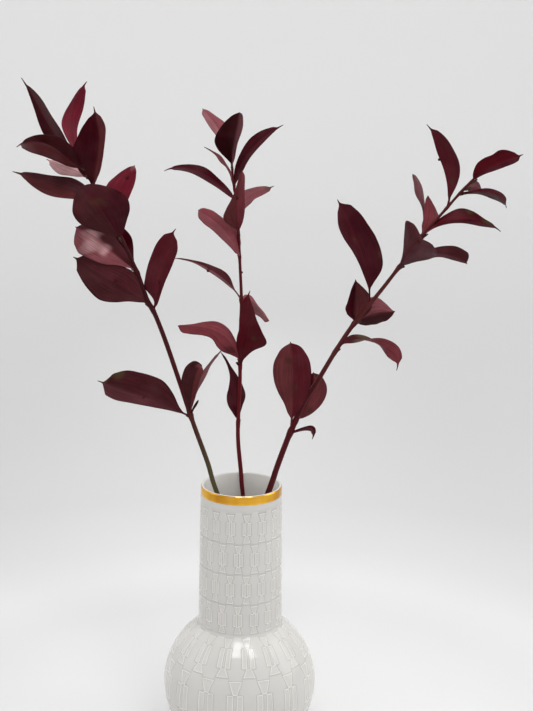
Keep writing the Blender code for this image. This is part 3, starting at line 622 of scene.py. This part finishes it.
def make_stem(stem, seed, leaf_look, stalk_look):
    """A leafy stem, as one mesh that stands for its CAD node."""
    centreline = smooth_route(stem.route, STALK_STEP)
    parts = MeshParts()
    add_stalk(parts, stem, centreline)
    tangents = unit(np.gradient(centreline, axis=0))
    for index, leaf in enumerate(stem.leaves):
        root = point_on(centreline, leaf.height)
        add_leaf(parts, leaf, root, seed + index)
        if leaf.scar:
            place = curve_through([(0, 0, 0), *leaf.midrib], np.array([leaf.scar]))[0] + root
            add_knot(parts, place, SCAR_RADIUS, seed + index)
        # A dried scale sits below each leaf, where it leaves the stem.
        near = np.argmin(np.abs(centreline[:, 2] - leaf.height))
        way = unit(np.array(leaf.midrib[0], float)) * 0.8 + tangents[near] * 0.6 - [0, 0, 0.25]
        below = root - [0, 0, SCALE_DROP]
        number = seed + SCALE_SEED + index
        add_scale(parts, below, SCALE_LENGTH * way, SCALE_WIDTHS, leaf.turn, TIP_BROWN, number)
    for index, (height, way) in enumerate(stem.spurs):
        root = point_on(centreline, height)
        add_scale(parts, root, np.array(way), SPUR_WIDTHS, 0, STEM_DARK, seed + SPUR_SEED + index)
    for index, (place, radius) in enumerate(stem.nubs):
        add_knot(parts, place, radius, seed + NUB_SEED + index)
    piece = parts.build(stem.name + "_leafy", [leaf_look, stalk_look])
    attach(piece, "root")
    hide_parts(stem.name)


def figure_rings(shares):
    """A figure of the relief: two trapezoids point to point, with an upright bar on each side of their waist.

    Each is its corners as (degrees from the figure's middle, share of the row's height).
    """
    top, waist, hips, foot, slot = shares
    return [
        [(-START_HALF, top), (START_HALF, top), (WAIST_HALF, waist), (-WAIST_HALF, waist)],
        [(-BARS_HALF, waist), (-slot, waist), (-slot, hips), (-BARS_HALF, hips)],
        [(slot, waist), (BARS_HALF, waist), (BARS_HALF, hips), (slot, hips)],
        [(-HIPS_HALF, hips), (HIPS_HALF, hips), (END_HALF, foot), (-END_HALF, foot)],
    ]


def panel_outline(shares, ends, groove):
    """(share, left, right) of the plain panel between two figures, a groove away from both."""
    top, waist, hips, foot, _ = shares
    figure = [
        (ends[0], START_HALF), (top, START_HALF), (waist - 0.035, 2.2), (waist - 0.005, BARS_HALF),
        (hips + 0.005, BARS_HALF), (hips + 0.035, 2.7), (foot - 0.01, END_HALF), (ends[1], END_HALF),
    ]
    return [(share, half + groove - HALF_PITCH, HALF_PITCH - half - groove) for share, half in figure]


def outer_wall(down, height=0):
    """(radius, height) of the outer face at a distance down its profile, raised along its normal."""
    down = np.asarray(down, float)
    neck = down <= NECK_LENGTH
    neck_radius = NECK_TOP_RADIUS + (NECK_FOOT_RADIUS - NECK_TOP_RADIUS) * down / NECK_LENGTH
    angle = BALL_TOP - (down - NECK_LENGTH) / BALL_RADIUS
    radius = np.where(neck, neck_radius + height, (BALL_RADIUS + height) * np.cos(angle))
    level = np.where(neck, VASE_HEIGHT - down, BALL_CENTRE + (BALL_RADIUS + height) * np.sin(angle))
    return radius, level


def on_wall(degrees, down, height):
    """Points on the outer face, by degrees to the right of the front and distance down the profile."""
    radius, level = outer_wall(down, height)
    angle = np.radians(degrees)
    return np.stack([radius * np.sin(angle), -radius * np.cos(angle), level + 0 * angle], axis=-1)


def inset(corners, distance):
    """A convex polygon's corners moved inwards by a distance from its sides."""
    towards = unit(np.roll(corners, -1, axis=0) - corners)
    inwards = np.stack([-towards[:, 1], towards[:, 0]], axis=-1)
    before = np.roll(inwards, 1, axis=0)
    turn = 1 + (before * inwards).sum(axis=1, keepdims=True)
    return corners + distance * (before + inwards) / turn


def add_ridge(parts, corners, middle, top, bottom):
    """A raised ridge along the inside of a polygon, following the wall."""
    radius = float(outer_wall((top + bottom) / 2)[0])
    per_degree = radius * math.pi / 180
    flat = np.array([(angle * per_degree, top + share * (bottom - top)) for angle, share in corners])
    widths = np.linalg.norm(np.roll(flat, -1, axis=0) - flat, axis=1)
    counts = np.maximum(1, np.ceil(widths / RELIEF_STEP)).astype(int)
    width = RIDGE_WIDTH * math.sqrt(radius / NECK_TOP_RADIUS)
    section = RIDGE_SIDES + [(width - inwards, up) for inwards, up in reversed(RIDGE_SIDES)]
    rings = []
    for inwards, up in section:
        loop = inset(flat, inwards)
        ends = np.roll(loop, -1, axis=0)
        points = [a + (b - a) * step / n for a, b, n in zip(loop, ends, counts) for step in range(n)]
        across, down = np.array(points).T
        rings.append(on_wall(middle + across / per_degree, down, up))
    faces = tube_faces(len(rings), len(rings[0]), joined=True)
    # Ridges painted whiter: thinner glaze, and a painted highlight
    parts.add(np.vstack(rings), faces, [RIDGE_GLAZE_AND_HIGHLIGHT] * 3, GLAZE_SLOT)


def add_plate(parts, outline, middle, top, bottom, height, columns):
    """A closed plate following the wall. Its outline is (share, left, right), in degrees from its middle."""
    shares, left, right = (np.array(values, float) for values in zip(*outline))
    steps = np.maximum(1, np.ceil(np.diff(shares) * (bottom - top) / RELIEF_STEP)).astype(int)
    fine = [np.linspace(a, b, n, endpoint=False) for a, b, n in zip(shares, shares[1:], steps)]
    fine = np.append(np.concatenate(fine), shares[-1])
    down = top + fine * (bottom - top)
    left = np.interp(fine, shares, left)
    right = np.interp(fine, shares, right)
    spread = np.linspace(0, 1, columns + 1)
    layers = []
    for up, inwards in ((height, 0.16), (SUNK, -0.06)):
        step = np.degrees(inwards / outer_wall(down)[0])
        angles = (left + step)[:, None] + (right - left - 2 * step)[:, None] * spread
        level = down.copy()
        level[0] += inwards
        level[-1] -= inwards
        layers.append(on_wall(middle + angles, level[:, None] + 0 * angles, up).reshape(-1, 3))
    parts.add(np.vstack(layers), shell_faces(len(down) - 1, columns), (1, 1, 1), GLAZE_SLOT)


def add_relief_row(parts, top, bottom, shares, ends, offset):
    """One row of figures round the vase, with the panels between them."""
    groove = math.degrees(GROOVE_WIDTH / float(outer_wall((top + bottom) / 2)[0]))
    panel = panel_outline(shares, ends, groove)
    _, waist, hips, _, slot = shares
    strip = [(share, 0.7 * groove - slot, slot - 0.7 * groove) for share in (waist + 0.01, hips - 0.01)]
    for number in range(FIGURES_ROUND):
        middle = offset + 2 * number * HALF_PITCH
        for corners in figure_rings(shares):
            add_ridge(parts, corners, middle, top, bottom)
            (low, start), (high, _), (high_end, _), (low_end, end) = corners
            first = (start + 0.02, low + FRAME, high - FRAME)
            last = (end - 0.02, low_end + FRAME, high_end - FRAME)
            add_plate(parts, [first, last], middle, top, bottom, INSIDE_HEIGHT, 3)
        if slot > groove:  # wide enough for a strip of plain wall between the two bars
            add_plate(parts, strip, middle, top, bottom, PANEL_HEIGHT, 2)
        add_plate(parts, panel, middle + HALF_PITCH, top, bottom, PANEL_HEIGHT, 5)


def vase_inside():
    """(radius, height) from the middle of the floor up to the mouth."""
    inner_ball = BALL_RADIUS - BALL_WALL
    inner_neck = NECK_FOOT_RADIUS - NECK_WALL
    joint = BALL_CENTRE + math.sqrt(inner_ball**2 - inner_neck**2)
    lowest, highest = (math.asin((height - BALL_CENTRE) / inner_ball) for height in (FLOOR_TOP, joint))
    angles = np.linspace(lowest, highest, 25)
    ball = [(inner_ball * math.cos(angle), BALL_CENTRE + inner_ball * math.sin(angle)) for angle in angles]
    flare = NECK_FOOT_RADIUS - NECK_TOP_RADIUS
    rise = VASE_HEIGHT - NECK_WALL / 2 - joint
    neck = [(inner_neck - share * flare, joint + share * rise) for share in (0.2, 0.4, 0.6, 0.8, 1)]
    return [(0, FLOOR_TOP), (14, FLOOR_TOP), *ball, *neck]


def vase_profile():
    """(radius, height, material slot, tint) of the vase's section, from the floor inside to the foot."""
    # The inside wall is painted paler, as painted light.
    profile = [(radius, height, GLAZE_SLOT, INSIDE_PAINTED_LIGHT) for radius, height in vase_inside()]
    lip = NECK_WALL / 2
    for degrees in range(155, -1, -25):
        angle = math.radians(degrees)
        across = NECK_TOP_RADIUS - lip + lip * math.cos(angle)
        slot = GILT_SLOT if degrees < GILT_EDGE else GLAZE_SLOT
        profile.append((across, VASE_HEIGHT - lip + lip * math.sin(angle), slot, 1))
    foot_down = NECK_LENGTH + BALL_RADIUS * (BALL_TOP + math.asin(BALL_CENTRE / BALL_RADIUS))
    # Grooves painted greyer: thicker glaze, and painted shade
    plain, grooved = (0, GLAZE_SLOT, 1), (-GROOVE_DEPTH, GLAZE_SLOT, GROOVE_GLAZE_AND_SHADE)
    stretches = [
        ((2.5, 4, 5.5, GILT_DEPTH), (0.03, GILT_SLOT, 1)),
        ((GILT_DEPTH + 0.06, 10, NECK_ROWS[0] + 0.2), plain),
        (np.linspace(NECK_ROWS[0] + 0.45, NECK_ROWS[-1] - 0.2, 12), grooved),
        ((NECK_ROWS[-1] + 0.05, NECK_LENGTH - 0.15, NECK_LENGTH + 0.15), plain),
        (np.linspace(BALL_ROWS[0] + 0.2, BALL_ROWS[-1] - 0.2, 40), grooved),
        (np.linspace(BALL_ROWS[-1], foot_down - 0.8, 5), plain),
    ]
    for distances, (raised, slot, tint) in stretches:
        profile += [(*outer_wall(down, raised), slot, tint) for down in distances]
    foot = float(outer_wall(foot_down)[0])
    ring = [(foot - 0.15, 0.1, GLAZE_SLOT), (foot - 0.7, 0, BISCUIT_SLOT), (foot - 3, 0, BISCUIT_SLOT)]
    ring += [(foot - 3.8, 0.9, GLAZE_SLOT), (0, 0.9, GLAZE_SLOT)]
    return profile + [(*place, 1) for place in ring]


def add_lathe(parts, profile, steps):
    """A profile of (radius, height, slot, tint), turned about the upright axis."""
    angles = np.linspace(0, 2 * math.pi, steps, endpoint=False)
    around = np.stack([np.sin(angles), -np.cos(angles), 0 * angles], axis=-1)
    starts = []
    for radius, height, slot, tint in profile:
        starts.append(parts.count)
        points = around * radius + [0, 0, height]
        parts.add(points if radius > 0 else points[:1], [], [tint] * 3, slot)
    for (near, *_), (far, _, slot, _), here, there in zip(profile, profile[1:], starts, starts[1:]):
        for step in range(steps):
            beside = (step + 1) % steps
            corners = [here + step, here + beside, there + beside, there + step]
            if near == 0:
                corners = [here, there + beside, there + step]
            elif far == 0:
                corners = [here + step, here + beside, there]
            parts.faces.append(corners)
            parts.slots.append(slot)


def make_vase(looks):
    parts = MeshParts()
    add_lathe(parts, vase_profile(), LATHE_STEPS)
    rows = [(*row, NECK_FIGURE, NECK_PANEL) for row in zip(NECK_ROWS, NECK_ROWS[1:])]
    rows += [(*row, BALL_FIGURE, BALL_PANEL) for row in zip(BALL_ROWS, BALL_ROWS[1:])]
    for index, (top, bottom, shares, ends) in enumerate(rows):
        if index == 0:
            ends = (-0.04, ends[1])  # the first row's panels run up into the plain band below the gilding
        offset = FIGURE_TURN + HALF_PITCH * (1 - index % 2)
        add_relief_row(parts, top, bottom, shares, ends, offset)
    piece = parts.build("vase_glazed", looks)
    bm = bmesh.new()
    bm.from_mesh(piece.data)
    bmesh.ops.recalc_face_normals(bm, faces=bm.faces)
    bm.to_mesh(piece.data)
    bm.free()
    piece.data.set_sharp_from_angle(angle=math.radians(40))
    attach(piece, "root")
    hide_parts("vase")


# Materials


class Look:
    """A material, or a world, whose shader takes its inputs from nodes."""

    def __init__(self, name, kind="materials", shader="Principled BSDF", **settings):
        self.owner = getattr(bpy.data, kind).new(name)
        self.owner.use_nodes = True
        self.tree = self.owner.node_tree
        self.shader = self.tree.nodes[shader]
        self.set(self.shader, settings)

    def set(self, node, inputs):
        for key, value in inputs.items():
            socket = node.inputs[key.replace("_", " ") if isinstance(key, str) else key]
            if isinstance(value, bpy.types.NodeSocket):
                self.tree.links.new(value, socket)
            else:
                socket.default_value = value

    def node(self, kind, inputs=(), **settings):
        node = self.tree.nodes.new(kind)
        for key, value in settings.items():
            setattr(node, key, value)
        self.set(node, dict(inputs))
        return node

    def attribute(self, name, output="Fac"):
        return self.node("ShaderNodeAttribute", attribute_name=name).outputs[output]

    def place(self):
        return self.node("ShaderNodeTexCoord").outputs["Object"]

    def noise(self, vector, scale, detail=3, roughness=0.5):
        inputs = {"Vector": vector, "Scale": scale, "Detail": detail, "Roughness": roughness}
        return self.node("ShaderNodeTexNoise", inputs).outputs["Fac"]

    def joined(self, kind, *values):
        return self.node("ShaderNodeCombine" + kind, enumerate(values)).outputs[0]

    def maths(self, operation, *values):
        return self.node("ShaderNodeMath", enumerate(values), operation=operation).outputs[0]

    def times(self, first, second):
        return self.maths("MULTIPLY", first, second)

    def map(self, value, to_low, to_high, low=0.3, high=0.7):
        """The value moved from one range, by default that of a noise, to another."""
        inputs = {"Value": value, "From Min": low, "From Max": high, "To Min": to_low, "To Max": to_high}
        return self.node("ShaderNodeMapRange", inputs).outputs[0]

    def mix(self, share, first, second, blend="MIX"):
        inputs = {0: share, 6: first, 7: second}
        return self.node("ShaderNodeMix", inputs, data_type="RGBA", blend_type=blend).outputs[2]

    def shaded(self, colour, tone):
        return self.mix(1, colour, self.joined("Color", tone, tone, tone), "MULTIPLY")

    def bump(self, height, distance, strength):
        inputs = {"Height": height, "Distance": distance, "Strength": strength}
        self.set(self.shader, {"Normal": self.node("ShaderNodeBump", inputs).outputs[0]})

    def painted(self, colour, roughness):
        """The finished material, with this colour and roughness."""
        self.set(self.shader, {"Base Color": colour, "Roughness": roughness})
        return self.owner


def leaf_look():
    """Waxy dried leaf: fine parallel veins along it, mottled, with patches of painted sheen, paler and duller
    underneath.
    """
    look = Look("dried_leaf", Specular_IOR_Level=0.05)
    across, along, under = (look.attribute(name) for name in ("across", "along", "under"))
    number = look.attribute("number")
    arch = look.joined("XYZ", look.times(across, 7), look.times(along, 1.1), look.times(number, 3.7))
    veins = look.noise(arch, 2.2, 4, 0.65)
    mottle = look.noise(look.place(), 95, 3, 0.6)
    fine = look.noise(look.place(), 900, 2)
    tone = look.times(look.map(veins, 0.6, 1.18), look.map(mottle, 0.84, 1.16))
    colour = look.shaded(look.attribute("tint", "Color"), tone)
    rib = look.map(look.maths("ABSOLUTE", across), 0.6, 0, 0, 0.05)
    colour = look.mix(rib, colour, (*CRIMSON, 1))
    # Painted sheen: greyish pink patches mixed into the colour to stand for soft highlights.
    painted_sheen = look.map(look.noise(look.place(), 42, 2), 0, 0.2, 0.45, 0.75)
    colour = look.mix(painted_sheen, colour, (*HEATHER, 1))
    look.bump(look.maths("ADD", look.times(veins, 0.6), look.times(fine, 0.15)), 0.0003, 0.6)
    return look.painted(colour, look.maths("ADD", look.map(mottle, 0.34, 0.46), look.times(under, 0.06)))


def stalk_look():
    """Dried stem: streaked along its length, with small pale pores."""
    look = Look("dried_stem", Specular_IOR_Level=0.1)
    around, along = look.attribute("across"), look.attribute("along")
    streaks = look.noise(look.joined("XYZ", look.times(around, 5), look.times(along, 3)), 2.5, 4, 0.6)
    pores = look.noise(look.place(), 700, 2)
    colour = look.shaded(look.attribute("tint", "Color"), look.map(streaks, 0.75, 1.25))
    colour = look.mix(look.map(pores, 0, 0.35, 0.66, 0.74), colour, (*TIP_BROWN, 1))
    look.bump(look.maths("ADD", streaks, pores), 0.0003, 0.5)
    return look.painted(colour, look.map(streaks, 0.38, 0.55))


def porcelain_look():
    """White glaze over porcelain: very smooth, faintly uneven, with a few dark specks."""
    look = Look("white_glaze", Specular_IOR_Level=0.42)
    place = look.place()
    cloud = look.noise(place, 30, 2)
    colour = look.mix(look.map(cloud, 0, 1), (*GLAZE_GREY, 1), (*GLAZE_WHITE, 1))
    colour = look.mix(1, colour, look.attribute("tint", "Color"), "MULTIPLY")
    cells = look.node("ShaderNodeTexVoronoi", {"Vector": place, "Scale": 95}).outputs["Distance"]
    chosen = look.map(look.noise(place, 41, 0), 0, 0.6, 0.6, 0.62)
    speck = look.times(look.map(cells, 1, 0, 0.025, 0.04), chosen)
    look.bump(look.noise(place, 160, 1), 0.0004, 0.12)
    return look.painted(look.mix(speck, colour, (*SPECK, 1)), look.map(cloud, 0.08, 0.14))


def gilt_look():
    """Burnished gold painted on the lip, a little worn and brushed round the neck."""
    look = Look("gilt", Metallic=1)
    brush = look.node("ShaderNodeMapping", {"Vector": look.place(), "Scale": (1, 1, 0.3)}).outputs[0]
    strokes = look.noise(brush, 45, 2)
    colour = look.mix(look.map(strokes, 0, 1, 0.35, 0.62), (*GILT_DARK, 1), (*GILT_LIGHT, 1))
    look.bump(strokes, 0.0001, 0.1)
    return look.painted(colour, look.map(strokes, 0.06, 0.14))


def biscuit_look():
    """The unglazed ring that the vase stands on."""
    look = Look("bare_porcelain")
    grain = look.noise(look.place(), 1500)
    look.bump(grain, 0.0002, 0.4)
    return look.painted(look.mix(grain, (0.6, 0.58, 0.54, 1), (0.7, 0.68, 0.64, 1)), 0.8)


# Stage, lights and camera

CAMERA_PLACE = (0.0195, -1.08, 0.589)
CAMERA_LENS = 68.35
CAMERA_DIP = 12.8  # degrees that it looks down
CAMERA_ROLL = 0.8
FLOOR_FLAT = 3200
RIM_RADIUS = 1300
WALL_TOP = 2200
FLOOR_REACH = 5
# Painted light and shade: how pale the floor is at each distance from the vase, in metres.
FLOOR_PAINTED_LIGHT = [
    (0.05, 0.73), (0.2, 0.71), (0.3, 0.67), (0.38, 0.69), (0.48, 0.635), (0.65, 0.59), (1.0, 0.6),
    (2.1, 0.67), (3.5, 0.785), (4.6, 0.91),
]


def make_floor():
    """A pale floor that rises into a round wall, far enough out to stand behind the camera in any view. Light
    and shade are painted on it, changing with distance from the vase.
    """
    parts = MeshParts()
    profile = [(0, 0), (300, 0)]
    for degrees in range(0, 91, 10):
        angle = math.radians(degrees)
        profile.append((FLOOR_FLAT + RIM_RADIUS * math.sin(angle), RIM_RADIUS * (1 - math.cos(angle))))
    profile.append((FLOOR_FLAT + RIM_RADIUS, WALL_TOP))
    add_lathe(parts, [(*place, 0, 1) for place in profile], 96)
    look = Look("studio_floor", Specular_IOR_Level=0.2)
    where = look.node("ShaderNodeSeparateXYZ", {"Vector": look.place()}).outputs
    flat = look.joined("XYZ", where[0], where[1])
    reach = look.node("ShaderNodeVectorMath", {0: flat}, operation="LENGTH").outputs["Value"]
    # Painted light and shade, by distance from the vase
    ramp = look.node("ShaderNodeValToRGB", {"Fac": look.map(reach, 0, 1, 0, FLOOR_REACH)})
    stops = ramp.color_ramp.elements
    while len(stops) < len(FLOOR_PAINTED_LIGHT):
        stops.new(0.5)
    for stop, (distance, _) in zip(stops, FLOOR_PAINTED_LIGHT):
        stop.position = distance / FLOOR_REACH
    for stop, (_, tone) in zip(stops, FLOOR_PAINTED_LIGHT):
        stop.color = (tone, tone, tone, 1)
    floor = parts.build("studio_floor", [look.painted(ramp.outputs["Color"], 0.8)])


def add_area(name, place, aim, size, power, spread=180):
    light = bpy.data.lights.new(name, "AREA")
    light.shape = "RECTANGLE"
    light.size, light.size_y = size
    light.energy = power
    light.spread = math.radians(spread)
    lamp = add_object(name, light)
    lamp.location = place
    lamp.rotation_mode = "QUATERNION"
    lamp.rotation_quaternion = (Vector(aim) - Vector(place)).to_track_quat("-Z", "Y")


def light_scene():
    """Soft light from all round, dimmer from the front, softboxes above and beside, and two lamps behind."""
    sky = Look("studio", "worlds", "Background", Color=(1, 1, 1, 1))
    way = sky.node("ShaderNodeTexCoord").outputs["Generated"]
    depth = sky.node("ShaderNodeSeparateXYZ", {"Vector": way}).outputs["Y"]
    sky.set(sky.shader, {"Strength": sky.map(depth, 0.48, 1.3, -1, 1)})
    bpy.context.scene.world = sky.owner
    for name, across in (("top_left", -0.1), ("top_right", 0.42)):
        add_area(name, (across, -0.6, 1.55), (0, 0, 0.15), (0.3, 0.68), 5.2)
    add_area("left", (-1.6, -0.2, 0.9), (0, 0, 0.3), (1, 1.4), 2)
    add_area("right", (1.6, 0.1, 0.9), (0, 0, 0.3), (1, 1.4), 6)
    add_area("backdrop", (0, 2, 2.7), (0, 4.2, 0.8), (1, 0.8), 13.3)
    add_area("floor_glow", (-0.04, 1.05, 1.1), (-0.04, 1.05, 0), (0.1, 1.3), 0.2, spread=38)


def make_camera():
    data = bpy.data.cameras.new("camera")
    data.lens = CAMERA_LENS
    data.clip_start = 0.05
    camera = add_object("camera", data)
    camera.location = CAMERA_PLACE
    level = Matrix.Rotation(math.radians(90 - CAMERA_DIP), 4, "X")
    camera.rotation_mode = "QUATERNION"
    camera.rotation_quaternion = (level @ Matrix.Rotation(math.radians(CAMERA_ROLL), 4, "Z")).to_quaternion()
    bpy.context.scene.camera = camera


def main():
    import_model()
    make_camera()
    leaf, stalk = leaf_look(), stalk_look()
    for number, stem in enumerate(STEMS):
        make_stem(stem, 100 * (number + 1), leaf, stalk)
    make_vase([porcelain_look(), gilt_look(), biscuit_look()])
    make_floor()
    light_scene()
    bpy.context.scene.view_settings.view_transform = "Standard"


main()
